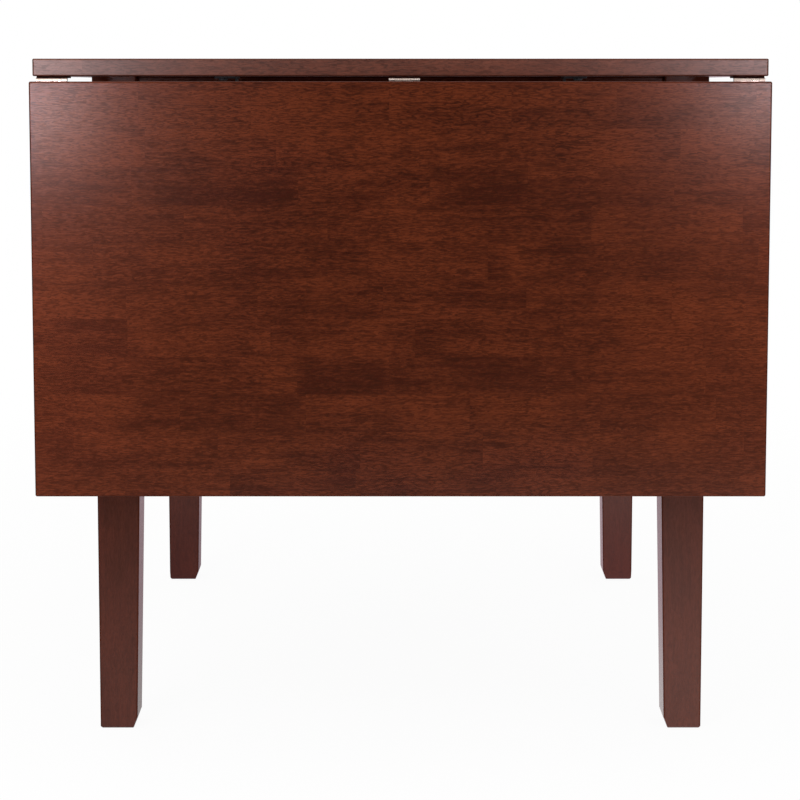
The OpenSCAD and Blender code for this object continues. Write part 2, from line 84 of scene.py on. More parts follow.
def calc(tree, operation, *values, clamp=False):
    """A sum with one, two or three numbers."""
    made = node(tree, "Math", dict(enumerate(values)), operation=operation, use_clamp=clamp)
    return made.outputs[0]


def vector_calc(tree, operation, *values):
    """A sum with one or two vectors."""
    return node(tree, "VectorMath", dict(enumerate(values)), operation=operation).outputs[0]


def smooth_step(tree, value, low, high):
    """0 below low and 1 above high, with a soft rise between."""
    made = node(tree, "MapRange", {"Value": value, "From Min": low, "From Max": high},
                interpolation_type="SMOOTHSTEP")
    return made.outputs["Result"]


def blend_colours(tree, amount, first, second):
    """The first colour turned into the second by an amount."""
    made = node(tree, "Mix", {0: amount, 6: first, 7: second}, data_type="RGBA")
    return made.outputs[2]


def noise(tree, place, waves, detail, roughness=0.5):
    """A soft uneven pattern, with so many waves to a metre along each axis."""
    return node(tree, "TexNoise", {
        "Vector": vector_calc(tree, "MULTIPLY", place, waves),
        "Scale": 1.0, "Detail": detail, "Roughness": roughness}).outputs


def shader_group(name, inputs, outputs):
    """An empty node group with named sockets, and the sockets to build between."""
    kinds = {float: "NodeSocketFloat", tuple: "NodeSocketColor", list: "NodeSocketVector"}
    tree = bpy.data.node_groups.new(name, "ShaderNodeTree")
    for socket, value in inputs.items():
        made = tree.interface.new_socket(socket, in_out="INPUT", socket_type=kinds[type(value)])
        made.default_value = value
    for socket, kind in outputs.items():
        tree.interface.new_socket(socket, in_out="OUTPUT", socket_type=kinds[kind])
    return tree, tree.nodes.new("NodeGroupInput").outputs, tree.nodes.new("NodeGroupOutput").inputs


def empty_material(name):
    """A material whose nodes are still to be laid out, and the tree that they go in."""
    material = bpy.data.materials.new(name)
    material.use_nodes = True
    material.node_tree.nodes.clear()
    return material, material.node_tree


def bend_across(tree, place, pattern, reach):
    """Moves a place across the grain with a pattern, by up to half of reach each way."""
    lean = vector_calc(tree, "SUBTRACT", pattern["Color"], (0.5, 0.5, 0.5))
    return vector_calc(tree, "ADD", place, vector_calc(tree, "MULTIPLY", lean, (0.0, reach, reach)))


# Wood figure: the place is read with x along the grain. The grain wanders slowly and ripples
# finely. Hairlines are the edges of growth rings, which close up and part again along the board.
wood_figure, given, made = shader_group(
    "wood_figure",
    {"Place": [0.0, 0.0, 0.0], "Ring Lines": 11.0},
    {"Hairlines": float, "Streaks": float, "Fibres": float, "Pores": float, "Clouds": float},
)
wander = noise(wood_figure, given["Place"], (2.2, 7.0, 7.0), detail=2.0)
bent = bend_across(wood_figure, given["Place"], wander, reach=0.022)
ripple = noise(wood_figure, given["Place"], (34.0, 70.0, 70.0), detail=1.0)
bent = bend_across(wood_figure, bent, ripple, reach=0.0045)
rings = noise(wood_figure, bent, (13.0, 115.0, 115.0), detail=3.0)["Fac"]
rings = calc(wood_figure, "MULTIPLY", rings, given["Ring Lines"])
from_line = calc(wood_figure, "PINGPONG", rings, 0.5)
hairline = calc(wood_figure, "SUBTRACT", 1.0, smooth_step(wood_figure, from_line, 0.04, 0.24))
wood_figure.links.new(hairline, made["Hairlines"])
for socket, waves, detail, low, high in (
    ("Streaks", (9.0, 210.0, 210.0), 3.0, 0.33, 0.60),
    ("Fibres", (160.0, 780.0, 780.0), 3.0, 0.34, 0.66),
    ("Pores", (150.0, 950.0, 950.0), 1.0, 0.55, 0.62),
    ("Clouds", (11.0, 22.0, 22.0), 3.0, 0.28, 0.72),
):
    pattern = noise(wood_figure, bent, waves, detail, roughness=0.62)["Fac"]
    wood_figure.links.new(smooth_step(wood_figure, pattern, low, high), made[socket])

# Arris: how near a place is to the edge where two of three pairs of faces meet.
arris, given, made = shader_group(
    "arris",
    {"From Sides": 0.01, "From Faces": 0.01, "From Ends": 0.01, "Reach": 0.002},
    {"Arris": float},
)
nearest = calc(arris, "MINIMUM", given["From Sides"], given["From Faces"])
farther = calc(arris, "MAXIMUM", given["From Sides"], given["From Faces"])
second = calc(arris, "MAXIMUM", nearest, calc(arris, "MINIMUM", farther, given["From Ends"]))
closeness = calc(arris, "SUBTRACT", 1.0, calc(arris, "DIVIDE", second, given["Reach"]), clamp=True)
arris.links.new(calc(arris, "POWER", closeness, 1.2), made["Arris"])

# Walnut stain: each part of the figure takes it more or less, and it lies thick in the open pores,
# along the hairlines and in a glued seam. The colour is also made darker along an arris.
walnut_stain, given, made = shader_group(
    "walnut_stain",
    {"Hairlines": 0.0, "Streaks": 0.5, "Fibres": 0.5, "Pores": 0.0, "Clouds": 0.5, "Tone": 0.5,
     "Seam": 0.0, "Arris": 0.0, "Open Grain": 1.0, "Deep": (0.03, 0.005, 0.003, 1.0),
     "Bright": (0.12, 0.03, 0.01, 1.0), "Pore": (0.02, 0.003, 0.002, 1.0)},
    {"Color": tuple, "Roughness": float, "Height": float, "Lacquer": float},
)
paleness = 0.5
for socket, strength in (("Streaks", 0.40), ("Fibres", 0.52), ("Clouds", 0.58), ("Tone", 0.50)):
    lean = calc(walnut_stain, "SUBTRACT", given[socket], 0.5)
    paleness = calc(walnut_stain, "MULTIPLY_ADD", lean, strength, paleness)
paleness = calc(walnut_stain, "ADD", paleness, 0.0, clamp=True)
colour = blend_colours(walnut_stain, paleness, given["Deep"], given["Bright"])
lines = calc(walnut_stain, "MULTIPLY", given["Hairlines"],
             calc(walnut_stain, "MULTIPLY_ADD", given["Clouds"], -0.50, 1.00))
thick = calc(walnut_stain, "MAXIMUM", calc(walnut_stain, "MULTIPLY", given["Pores"], 0.75), lines)
thick = calc(walnut_stain, "MULTIPLY", thick, given["Open Grain"])
thick = calc(walnut_stain, "MAXIMUM", thick, calc(walnut_stain, "MULTIPLY", given["Seam"], 0.35))
# The colour is made darker along an arris.
thick = calc(walnut_stain, "MAXIMUM", thick, calc(walnut_stain, "MULTIPLY", given["Arris"], 0.80))
walnut_stain.links.new(blend_colours(walnut_stain, thick, colour, given["Pore"]), made["Color"])
roughness = calc(walnut_stain, "MULTIPLY_ADD", given["Pores"], 0.15, 0.36)
roughness = calc(walnut_stain, "MULTIPLY_ADD", given["Fibres"], 0.08, roughness)
walnut_stain.links.new(roughness, made["Roughness"])
height = calc(walnut_stain, "MULTIPLY", given["Fibres"], 0.35)
height = calc(walnut_stain, "MULTIPLY_ADD", given["Pores"], -0.8, height)
height = calc(walnut_stain, "MULTIPLY_ADD", given["Seam"], -0.4, height)
walnut_stain.links.new(height, made["Height"])
# The lacquer sinks into the open grain and is rubbed thin along an arris.
lacquer = calc(walnut_stain, "MULTIPLY_ADD", thick, -0.25, 1.0)
between_fibres = calc(walnut_stain, "SUBTRACT", 1.0, given["Fibres"])
sunk = calc(walnut_stain, "MULTIPLY", given["Open Grain"], -0.25)
lacquer = calc(walnut_stain, "MULTIPLY_ADD", between_fibres, sunk, lacquer)
lacquer = calc(walnut_stain, "MULTIPLY_ADD", given["Arris"], -1.3, lacquer, clamp=True)
walnut_stain.links.new(lacquer, made["Lacquer"])


def lacquered_wood(name, deep, bright, place, edges, grain=(1.0, 0.0, 0.0), open_grain=1.0,
                   gloss=1.5, shine=planed_shine):
    """Stained wood under satin lacquer. place and edges are functions that add their nodes: where
    each point lies in its board, and how far it is from the board's faces. open_grain is how much
    of the pores the lacquer leaves unfilled, and gloss is its index of refraction."""
    material, tree = empty_material(name)
    own = node(tree, "TexCoord").outputs["Object"]
    board = place(tree, own)
    figure = node(tree, "Group", {"Place": board["Place"]}, node_tree=wood_figure).outputs
    edge = node(tree, "Group", {**edges(tree, own), "Reach": arris_reach}, node_tree=arris).outputs
    covered = node(tree, "Group", {
        "Hairlines": figure["Hairlines"], "Streaks": figure["Streaks"], "Fibres": figure["Fibres"],
        "Pores": figure["Pores"], "Clouds": figure["Clouds"], "Tone": board.get("Tone", 0.5),
        "Seam": board.get("Seam", 0.0), "Arris": edge["Arris"], "Open Grain": open_grain,
        "Deep": deep, "Bright": bright, "Pore": pore_stain}, node_tree=walnut_stain).outputs
    bump = node(tree, "Bump", {"Height": covered["Height"], "Strength": 0.08, "Distance": 0.0003})
    # The shine of the fibres spreads into a band that lies across the grain.
    fibres = node(tree, "VectorTransform", {"Vector": grain}, vector_type="VECTOR",
                  convert_from="OBJECT", convert_to="WORLD").outputs["Vector"]
    shader = node(tree, "BsdfPrincipled", {
        "Base Color": covered["Color"], "Roughness": covered["Roughness"],
        "Normal": bump.outputs["Normal"], "Tangent": fibres, "Anisotropic": 0.85,
        "Anisotropic Rotation": 0.25, "Coat Weight": covered["Lacquer"], "Coat IOR": gloss, **shine})
    node(tree, "OutputMaterial", {"Surface": shader.outputs["BSDF"]}, is_active_output=True)
    return material


def upright_grain(tree, own):
    """The grain of a leg runs up it."""
    axis = node(tree, "SeparateXYZ", {"Vector": own}).outputs
    turned = node(tree, "CombineXYZ", {"X": axis["Z"], "Y": axis["X"], "Z": axis["Y"]})
    return {"Place": turned.outputs[0]}


def leg_edges(tree, own):
    """Distances from a leg's faces, which follow its taper. All four legs share them."""
    axis = node(tree, "SeparateXYZ", {"Vector": own}).outputs
    up = calc(tree, "DIVIDE", axis["Z"], taper_top, clamp=True)
    wide = calc(tree, "MULTIPLY_ADD", up, leg_wide - foot_wide, foot_wide)
    found = {"From Ends": axis["Z"]}
    for socket, value, middle, half in (
        ("From Sides", axis["X"], 0.0, leg_outer_x),
        ("From Faces", axis["Y"], (legs_front_y + legs_rear_y) / 2,
         (legs_rear_y - legs_front_y) / 2),
    ):
        off_middle = calc(tree, "ABSOLUTE", calc(tree, "SUBTRACT", value, middle))
        inside = calc(tree, "SUBTRACT", half, off_middle)
        found[socket] = calc(tree, "MINIMUM", inside, calc(tree, "SUBTRACT", wide, inside))
    return found


def solid(name, shape, materials, body, slot, *replaced):
    """A piece from its finished mesh, shaded smooth round its eased edges only."""
    mesh = bpy.data.meshes.new(name)
    bmesh.ops.recalc_face_normals(shape, faces=shape.faces)
    for face in shape.faces:
        face.smooth = True
    for edge in shape.edges:
        edge.smooth = edge.calc_face_angle(0.0) < soft_turn
    shape.to_mesh(mesh)
    shape.free()
    for material in materials:
        mesh.materials.append(material)
    piece = bpy.data.objects.new(name, mesh)
    bpy.context.scene.collection.objects.link(piece)
    piece.modifiers.new("flat faces", "WEIGHTED_NORMAL").keep_sharp = True
    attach(piece, body)
    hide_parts(*replaced)
    return piece


def shape_leg(side, end):
    """One leg: rings of corners from the floor up, skinned, then its arrises eased."""
    shape = bmesh.new()
    outer_x = side * leg_outer_x
    outer_y = legs_front_y if end < 0 else legs_rear_y

    def corner(a, b, z):
        return shape.verts.new((outer_x - side * a, outer_y - end * b, z))

    def ring(low, high, z):
        return [corner(low, low, z), corner(high, low, z), corner(high, high, z), corner(low, high, z)]

    foot = foot_wide - foot_cut_wide
    cut_top = foot_wide + (leg_wide - foot_wide) * foot_cut_high / taper_top
    eased = foot + (cut_top - foot) * foot_eased / foot_cut_high
    rings = [
        ring(foot_eased, foot, 0.0),
        ring(0.0, eased, foot_eased),
        ring(0.0, cut_top, foot_cut_high),
        ring(0.0, leg_wide, taper_top),
        ring(0.0, leg_wide, apron_bottom),
    ]
    shape.faces.new(rings[0])
    for lower, upper in zip(rings[:-2], rings[1:-1]):
        for i in range(4):
            shape.faces.new([lower[i], lower[i - 3], upper[i - 3], upper[i]])
    # The corner above the apron's lower edge is planed flat for the hanger bolt.
    below, square = rings[3], rings[4]
    flat_low = [corner(leg_wide, corner_flat, apron_bottom), corner(corner_flat, leg_wide, apron_bottom)]
    flat_top = [corner(leg_wide, corner_flat, leg_top), corner(corner_flat, leg_wide, leg_top)]
    top = [corner(0.0, 0.0, leg_top), corner(leg_wide, 0.0, leg_top), corner(0.0, leg_wide, leg_top)]
    for face in (
        [below[0], below[1], square[1], square[0]],
        [below[1], below[2], square[2], flat_low[0], square[1]],
        [below[2], below[3], square[3], flat_low[1], square[2]],
        [below[3], below[0], square[0], square[3]],
        [square[2], flat_low[0], flat_low[1]],
        [square[0], square[1], top[1], top[0]],
        [square[1], flat_low[0], flat_top[0], top[1]],
        [flat_low[0], flat_low[1], flat_top[1], flat_top[0]],
        [flat_low[1], square[3], top[2], flat_top[1]],
        [square[3], square[0], top[0], top[2]],
        [top[0], top[1], flat_top[0], flat_top[1], top[2]],
    ):
        shape.faces.new(face)
    bmesh.ops.recalc_face_normals(shape, faces=shape.faces)
    # Below the apron every clear arris is eased, and above it only the square upright ones.
    slack = 0.001
    upright_least = 0.02
    arrises = []
    for edge in shape.edges:
        low, high = sorted(vert.co.z for vert in edge.verts)
        turn = edge.calc_face_angle(0.0)
        under_apron = low < apron_bottom - slack and turn > clear_turn
        upright = high - low > upright_least and turn > square_turn
        if under_apron or upright:
            arrises.append(edge)
    bmesh.ops.bevel(shape, geom=arrises, offset=leg_arris, offset_type="OFFSET", segments=3,
                    profile=0.5, affect="EDGES", clamp_overlap=True)
    return shape


leg_wood = lacquered_wood(
    "leg_wood", deep=(0.0350, 0.0054, 0.0025, 1.0), bright=(0.0715, 0.0120, 0.0052, 1.0),
    place=upright_grain, edges=leg_edges, grain=(0.0, 0.0, 1.0), open_grain=0.40)
for end_name, end in (("front", -1), ("rear", 1)):
    for side_name, side in (("left", -1), ("right", 1)):
        solid(f"leg_{end_name}_{side_name}_sawn", shape_leg(side, end), [leg_wood], "frame",
              "leg_wood", f"leg_{end_name}_{side_name}")

# Aprons
# Four rails of the same stained wood, which join the legs just under the top. They are planed
# boards, with the grain along them and the arrises eased, and they butt against the legs.
apron_arris = 0.0012
rail_apart = 1.7


def box_edges(low, high, ends):
    """Distances from the faces of a squared board. ends is the axis that it runs along."""
    middle = tuple((low + high) / 2)
    half = tuple((high - low) / 2)

    def edges(tree, own):
        off_middle = vector_calc(tree, "ABSOLUTE", vector_calc(tree, "SUBTRACT", own, middle))
        inside = vector_calc(tree, "SUBTRACT", half, off_middle)
        axis = node(tree, "SeparateXYZ", {"Vector": inside}).outputs
        names = [name for name in "XYZ" if name != ends]
        return {"From Sides": axis[names[0]], "From Faces": axis[names[1]], "From Ends": axis[ends]}

    return edges


def level_grain(along, in_log):
    """The grain of a rail runs along one level axis. in_log is how far up the log it was sawn."""
    def place(tree, own):
        axis = node(tree, "SeparateXYZ", {"Vector": own}).outputs
        turned = node(tree, "CombineXYZ", {
            "X": axis[along], "Y": axis["Z"], "Z": axis["Y" if along == "X" else "X"]}).outputs[0]
        return {"Place": vector_calc(tree, "ADD", turned, (in_log, 0.0, 0.0))}

    return place


def squared_board(low, high):
    """A plain block between two corners."""
    shape = bmesh.new()
    bmesh.ops.create_cube(shape, size=1.0)
    for vert in shape.verts:
        vert.co = Vector(high[i] if vert.co[i] > 0 else low[i] for i in range(3))
    return shape


def edges_along(shape, axis):
    """The edges of a block that run along an axis, given as 0, 1 or 2."""
    found = []
    for edge in shape.edges:
        run = edge.verts[1].co - edge.verts[0].co
        if abs(run[axis]) > 0.999 * run.length:
            found.append(edge)
    return found


for count, (name, along, grain) in enumerate((
    ("apron_front", "X", (1.0, 0.0, 0.0)), ("apron_rear", "X", (1.0, 0.0, 0.0)),
    ("apron_left", "Y", (0.0, 1.0, 0.0)), ("apron_right", "Y", (0.0, 1.0, 0.0)),
)):
    low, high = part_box(name)
    shape = squared_board(low, high)
    bmesh.ops.bevel(shape, geom=edges_along(shape, "XY".index(along)), offset=apron_arris,
                    offset_type="OFFSET", segments=3, profile=0.5, affect="EDGES")
    apron_wood = lacquered_wood(
        name + "_wood", deep=(0.028, 0.006, 0.0035, 1.0), bright=(0.100, 0.027, 0.012, 1.0),
        place=level_grain(along, rail_apart * count), edges=box_edges(low, high, along),
        grain=grain)
    solid(name + "_planed", shape, [apron_wood], "frame", "apron_wood", name)

# Corner brackets, bolts and clips
# Bent and punched steel, zinc plated after it was formed: a bracket across each corner, pulled to
# its leg by a hanger bolt, washer and nut, and small angle clips that hold the top on the aprons.
plated_wear, given, made = shader_group(
    "plated_wear",
    {"Place": [0.0, 0.0, 0.0], "Grain": 900.0, "Blotch": 60.0,
     "Bare": (0.6, 0.6, 0.6, 1.0), "Dull": (0.4, 0.4, 0.4, 1.0), "Least Rough": 0.3,
     "Most Rough": 0.5},
    {"Color": tuple, "Roughness": float, "Height": float},
)
blotch = node(plated_wear, "TexNoise", {
    "Vector": given["Place"], "Scale": given["Blotch"], "Detail": 3.0}).outputs["Fac"]
blotch = smooth_step(plated_wear, blotch, 0.35, 0.65)
speckle = node(plated_wear, "TexNoise", {
    "Vector": given["Place"], "Scale": given["Grain"], "Detail": 2.0}).outputs["Fac"]
uneven = calc(plated_wear, "MULTIPLY_ADD", speckle, 0.5, calc(plated_wear, "MULTIPLY", blotch, 0.5))
span = calc(plated_wear, "SUBTRACT", given["Most Rough"], given["Least Rough"])
roughness = calc(plated_wear, "MULTIPLY_ADD", uneven, span, given["Least Rough"])
plated_wear.links.new(
    blend_colours(plated_wear, blotch, given["Bare"], given["Dull"]), made["Color"])
plated_wear.links.new(roughness, made["Roughness"])
plated_wear.links.new(speckle, made["Height"])


def metal(name, bare, dull, least_rough, most_rough, grain, metallic=1.0, specular=0.5,
          bump_strength=0.1, cover=None):
    """A plated, polished or painted metal with an uneven, slightly grainy face. cover is a function
    that lays something over parts of it."""
    material, tree = empty_material(name)
    own = node(tree, "TexCoord").outputs["Object"]
    face = node(tree, "Group", {
        "Place": own, "Grain": grain, "Bare": bare, "Dull": dull, "Least Rough": least_rough,
        "Most Rough": most_rough}, node_tree=plated_wear).outputs
    bump = node(tree, "Bump", {
        "Height": face["Height"], "Strength": bump_strength, "Distance": 0.0001})
    finish = {"Base Color": face["Color"], "Roughness": face["Roughness"], "Metallic": metallic}
    if cover:
        finish = cover(tree, own, face)
    shader = node(tree, "BsdfPrincipled", {
        **finish, "Specular IOR Level": specular, "Normal": bump.outputs["Normal"]})
    node(tree, "OutputMaterial", {"Surface": shader.outputs["BSDF"]}, is_active_output=True)
    return material


def finish_nodes(material, *names):
    """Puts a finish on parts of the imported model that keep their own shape."""
    for name in names:
        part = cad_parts[name]
        part.data.materials.clear()
        part.data.materials.append(material)


zinc_steel = metal("zinc_steel", bare=(0.62, 0.63, 0.64, 1.0), dull=(0.50, 0.52, 0.54, 1.0),
                   least_rough=0.28, most_rough=0.46, grain=1400.0)
finish_nodes(
    zinc_steel, "corner_bracket_front_left", "corner_bracket_front_right",
    "corner_bracket_rear_left", "corner_bracket_rear_right", "hanger_bolts", "bolt_washers",
    "bolt_nuts", "corner_bracket_screws", "top_clips", "clip_screws_to_top",
    "clip_screws_to_aprons")

# Fixed top
# One panel of stained rubberwood, glued up from staves of short finger-jointed blocks that run
# along the hinge line. The panel's corners are rounded and its edges eased before it is stained.
panel_corner = 0.0020
panel_eased = 0.0015
rim_lean = 0.3
stave_wide = 0.0392
block_long = 0.135
uneven_blocks = 0.7
stave_stagger = 294.2
top_in_log = 3.0
# The stave at the top's front edge was sawn narrower by this.
top_stave_cut = 0.013
# A sanded edge takes the stain unevenly and stays duller under the lacquer than a face.
sanded_shine = {
    "Specular IOR Level": 1.0, "Specular Tint": (1.0, 0.7, 0.6, 1.0), "Coat Roughness": 0.26}

# Glued staves: the place is read with x along them and y across. Each block shows another part of
# its log, and stave_stagger is how many blocks each stave is moved on from the one before.
glued_staves, given, made = shader_group(
    "glued_staves",
    {"Place": [0.0, 0.0, 0.0], "Stave Width": 0.039, "Block Length": 0.13, "First Joint": 0.0},
    {"Place": list, "Tone": float, "Seam": float},
)
axis = node(glued_staves, "SeparateXYZ", {"Vector": given["Place"]}).outputs
across = calc(glued_staves, "DIVIDE",
              calc(glued_staves, "SUBTRACT", axis["Y"], given["First Joint"]),
              given["Stave Width"])
stave = calc(glued_staves, "FLOOR", across)
in_stave = calc(glued_staves, "SUBTRACT", across, stave)
along = calc(glued_staves, "DIVIDE", axis["X"], given["Block Length"])
along = calc(glued_staves, "MULTIPLY_ADD", stave, stave_stagger, along)
block = node(glued_staves, "TexVoronoi", {"W": along, "Scale": 1.0, "Randomness": uneven_blocks},
             voronoi_dimensions="1D", feature="F1").outputs["Color"]
from_end = node(glued_staves, "TexVoronoi", {"W": along, "Scale": 1.0, "Randomness": uneven_blocks},
                voronoi_dimensions="1D", feature="DISTANCE_TO_EDGE").outputs["Distance"]
off_middle = calc(glued_staves, "SUBTRACT", in_stave, 0.5)
lying = node(glued_staves, "CombineXYZ", {
    "X": axis["X"], "Y": calc(glued_staves, "MULTIPLY", off_middle, given["Stave Width"]),
    "Z": axis["Z"]}).outputs[0]
in_log = vector_calc(glued_staves, "MULTIPLY", block, (7.0, 0.05, 0.05))
glued_staves.links.new(vector_calc(glued_staves, "ADD", lying, in_log), made["Place"])
from_joint = calc(glued_staves, "MINIMUM", in_stave, calc(glued_staves, "SUBTRACT", 1.0, in_stave))
long_seam = calc(glued_staves, "SUBTRACT", 1.0,
                 calc(glued_staves, "DIVIDE", from_joint, 0.008), clamp=True)
end_seam = calc(glued_staves, "SUBTRACT", 1.0,
                calc(glued_staves, "DIVIDE", from_end, 0.003), clamp=True)
glued_staves.links.new(calc(glued_staves, "MAXIMUM", long_seam, end_seam), made["Seam"])
# Most blocks are alike, a few are darker or paler, and the stain blurs where two of them meet.
picked = node(glued_staves, "SeparateColor", {"Color": block}).outputs["Red"]
odd = calc(glued_staves, "POWER", calc(glued_staves, "MULTIPLY_ADD", picked, 2.0, -1.0), 3.0)
odd = calc(glued_staves, "MULTIPLY", odd, smooth_step(glued_staves, from_end, -0.02, 0.07))
odd = calc(glued_staves, "MULTIPLY", odd, smooth_step(glued_staves, from_joint, -0.03, 0.07))
glued_staves.links.new(calc(glued_staves, "MULTIPLY_ADD", odd, 0.5, 0.5), made["Tone"])


def stave_grain(across, first_joint, in_log, painted_light=None):
    """The staves of a panel run along x, and lie side by side along another axis. painted_light is a
    function that adds painted light to their tone."""
    def place(tree, own):
        axis = node(tree, "SeparateXYZ", {"Vector": own}).outputs
        turned = node(tree, "CombineXYZ", {
            "X": calc(tree, "ADD", axis["X"], in_log), "Y": axis[across],
            "Z": axis["Y" if across == "Z" else "Z"]}).outputs[0]
        staves = node(tree, "Group", {
            "Place": turned, "Stave Width": stave_wide, "Block Length": block_long,
            "First Joint": first_joint}, node_tree=glued_staves).outputs
        tone = painted_light(tree, axis, staves["Tone"]) if painted_light else staves["Tone"]
        return {"Place": staves["Place"], "Tone": tone, "Seam": staves["Seam"]}

    return place


def eased_panel(low, high, thin):
    """A board with rounded corners and eased edges. thin is the axis through its thickness, and
    the rim takes the second of the board's two finishes."""
    shape = squared_board(low, high)
    bmesh.ops.bevel(shape, geom=edges_along(shape, thin), offset=panel_corner,
                    offset_type="OFFSET", segments=5, profile=0.5, affect="EDGES")
    rims = []
    for edge in shape.edges:
        ends = [vert.co[thin] for vert in edge.verts]
        if abs(ends[0] - ends[1]) < 1e-6 and edge.calc_face_angle(0.0) > square_turn:
            rims.append(edge)
    bmesh.ops.bevel(shape, geom=rims, offset=panel_eased, offset_type="OFFSET", segments=4,
                    profile=0.5, affect="EDGES", clamp_overlap=True)
    for face in shape.faces:
        face.material_index = 1 if abs(face.normal[thin]) < rim_lean else 0
    return shape


def panel_woods(name, place, edges):
    """The two finishes of a panel: its planed faces and its sanded rim, whose paler colours are painted
    sheen.
    """
    return [
        lacquered_wood(
            name + "_face_wood", deep=(0.0300, 0.0037, 0.0016, 1.0),
            bright=(0.108, 0.0195, 0.0051, 1.0), place=place, edges=edges, gloss=1.57),
        # The rim's colours are painted sheen: far paler than the faces' to stand in for the light that
        # the eased rim catches; its duller lacquer is its own.
        lacquered_wood(
            name + "_edge_wood", deep=(0.105, 0.0265, 0.0145, 1.0),
            bright=(0.165, 0.0415, 0.0200, 1.0), place=place, edges=edges, open_grain=0.6,
            gloss=1.54, shine=sanded_shine)]


low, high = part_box("fixed_top")
top_woods = panel_woods(
    "top", stave_grain("Y", low.y - top_stave_cut, top_in_log), box_edges(low, high, "X"))
solid("fixed_top_panel", eased_panel(low, high, 2), top_woods, "frame", "top_wood", "fixed_top")

# Drop leaf
# A second glued panel of the same wood and width, which hangs from the hinges in front. Its staves
# run the same way, its upper edge hangs just under the top, and its edges are eased like the top's.
low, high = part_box("drop_leaf")
# The uppermost stave was sawn down to a strip, and there are whole ones below it.
upper_strip = 0.009
whole_staves = 11
leaf_in_log = 3.78
# The painted light on the leaf reaches this far below its upper edge.
painted_light_reach = 0.13


def painted_light_rim(tree, axis, tone):
    """Painted light: the staves are painted paler towards the leaf's upper edge."""
    near_rim = smooth_step(tree, axis["Z"], high.z - painted_light_reach, high.z)
    return calc(tree, "MULTIPLY_ADD", near_rim, 0.6, tone)


leaf_grain = stave_grain(
    "Z", high.z - upper_strip - whole_staves * stave_wide, leaf_in_log, painted_light=painted_light_rim)
leaf_woods = panel_woods("leaf", leaf_grain, box_edges(low, high, "X"))
solid("drop_leaf_panel", eased_panel(low, high, 1), leaf_woods, "leaf", "leaf_wood", "drop_leaf")

# Hinges
# Three butt hinges of pale brass, stamped, rolled round their pins and tumbled to a soft shine,
# with countersunk brass screws. A plate lies under the top and another behind the leaf. Away from
# the barrels, plates and screws are painted a dark red-brown, dull and not metallic: painted shade.
pin_low, pin_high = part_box("hinge_pin_left")
pin_centre = (0.0, (pin_low.y + pin_high.y) / 2, (pin_low.z + pin_high.z) / 2)
barrel_radius = 0.003
shade_start = 0.0001
shade_full = 0.0005


def painted_shade_plates(tree, own, face):
    """Painted shade over the brass: a dull, dark red-brown, but for the barrel round the pin."""
    off_pin = node(tree, "VectorMath", {
        0: vector_calc(tree, "MULTIPLY", own, (0.0, 1.0, 1.0)), 1: pin_centre},
        operation="DISTANCE").outputs["Value"]
    # Painted shade: beyond the barrel the brass turns a dull, dark red-brown that isn't metallic.
    covered = smooth_step(tree, off_pin, barrel_radius + shade_start, barrel_radius + shade_full)
    return {
        "Base Color": blend_colours(tree, covered, face["Color"], (0.032, 0.011, 0.008, 1.0)),
        "Roughness": calc(tree, "MULTIPLY_ADD", covered, 0.40, face["Roughness"]),
        "Metallic": calc(tree, "SUBTRACT", 1.0, covered)}


hinge_brass = metal("hinge_brass", bare=(0.94, 0.79, 0.70, 1.0), dull=(0.84, 0.67, 0.57, 1.0),
                    least_rough=0.22, most_rough=0.34, grain=1800.0, specular=0.1,
                    bump_strength=0.04, cover=painted_shade_plates)
finish_nodes(
    hinge_brass, "hinge_top_plate_left", "hinge_top_plate_middle", "hinge_top_plate_right",
    "hinge_leaf_plate_left", "hinge_leaf_plate_middle", "hinge_leaf_plate_right",
    "hinge_pin_left", "hinge_pin_middle", "hinge_pin_right", "hinge_top_screws",
    "hinge_leaf_screws")

# Leaf stays
# A pair of slotted steel stays hold the leaf up. Bracket and arm are stamped and enamelled black;
# the stud, its nut, the rivet and the washers are zinc plated.
black_steel = metal("black_steel", bare=(0.020, 0.020, 0.022, 1.0), dull=(0.032, 0.031, 0.032, 1.0),
                    least_rough=0.34, most_rough=0.50, grain=1500.0, metallic=0.0,
                    bump_strength=0.25)
finish_nodes(
    black_steel, "stay_top_bracket_left", "stay_top_bracket_right", "stay_leaf_bracket_left",
    "stay_leaf_bracket_right", "stay_arm_left", "stay_arm_right", "stay_top_screws",
    "stay_leaf_screws")
finish_nodes(
    zinc_steel, "stay_stud_left", "stay_stud_right", "stay_pivot_left", "stay_pivot_right",
    "stay_stud_nuts", "stay_stud_washers", "stay_pivot_washers")

# Studio
# White paper on the floor, a pale surround, softboxes high and low on both sides of the camera and
# a wide one overhead. The camera stands as high as the hinges and looks slightly down.
camera_place = (0.0009, -2.7085, 0.7232)
camera_down = 5.47
paper_half = 12.0
white = (1.0, 1.0, 1.0, 1.0)
rosy_white = (0.72, 0.56, 0.62, 1.0)
rosy_light = (1.0, 0.92, 1.0)

floor_shape = bmesh.new()
bmesh.ops.create_grid(floor_shape, x_segments=1, y_segments=1, size=paper_half)
floor_mesh = bpy.data.meshes.new("floor")
floor_shape.to_mesh(floor_mesh)
floor_shape.free()
floor = bpy.data.objects.new("floor", floor_mesh)
bpy.context.scene.collection.objects.link(floor)

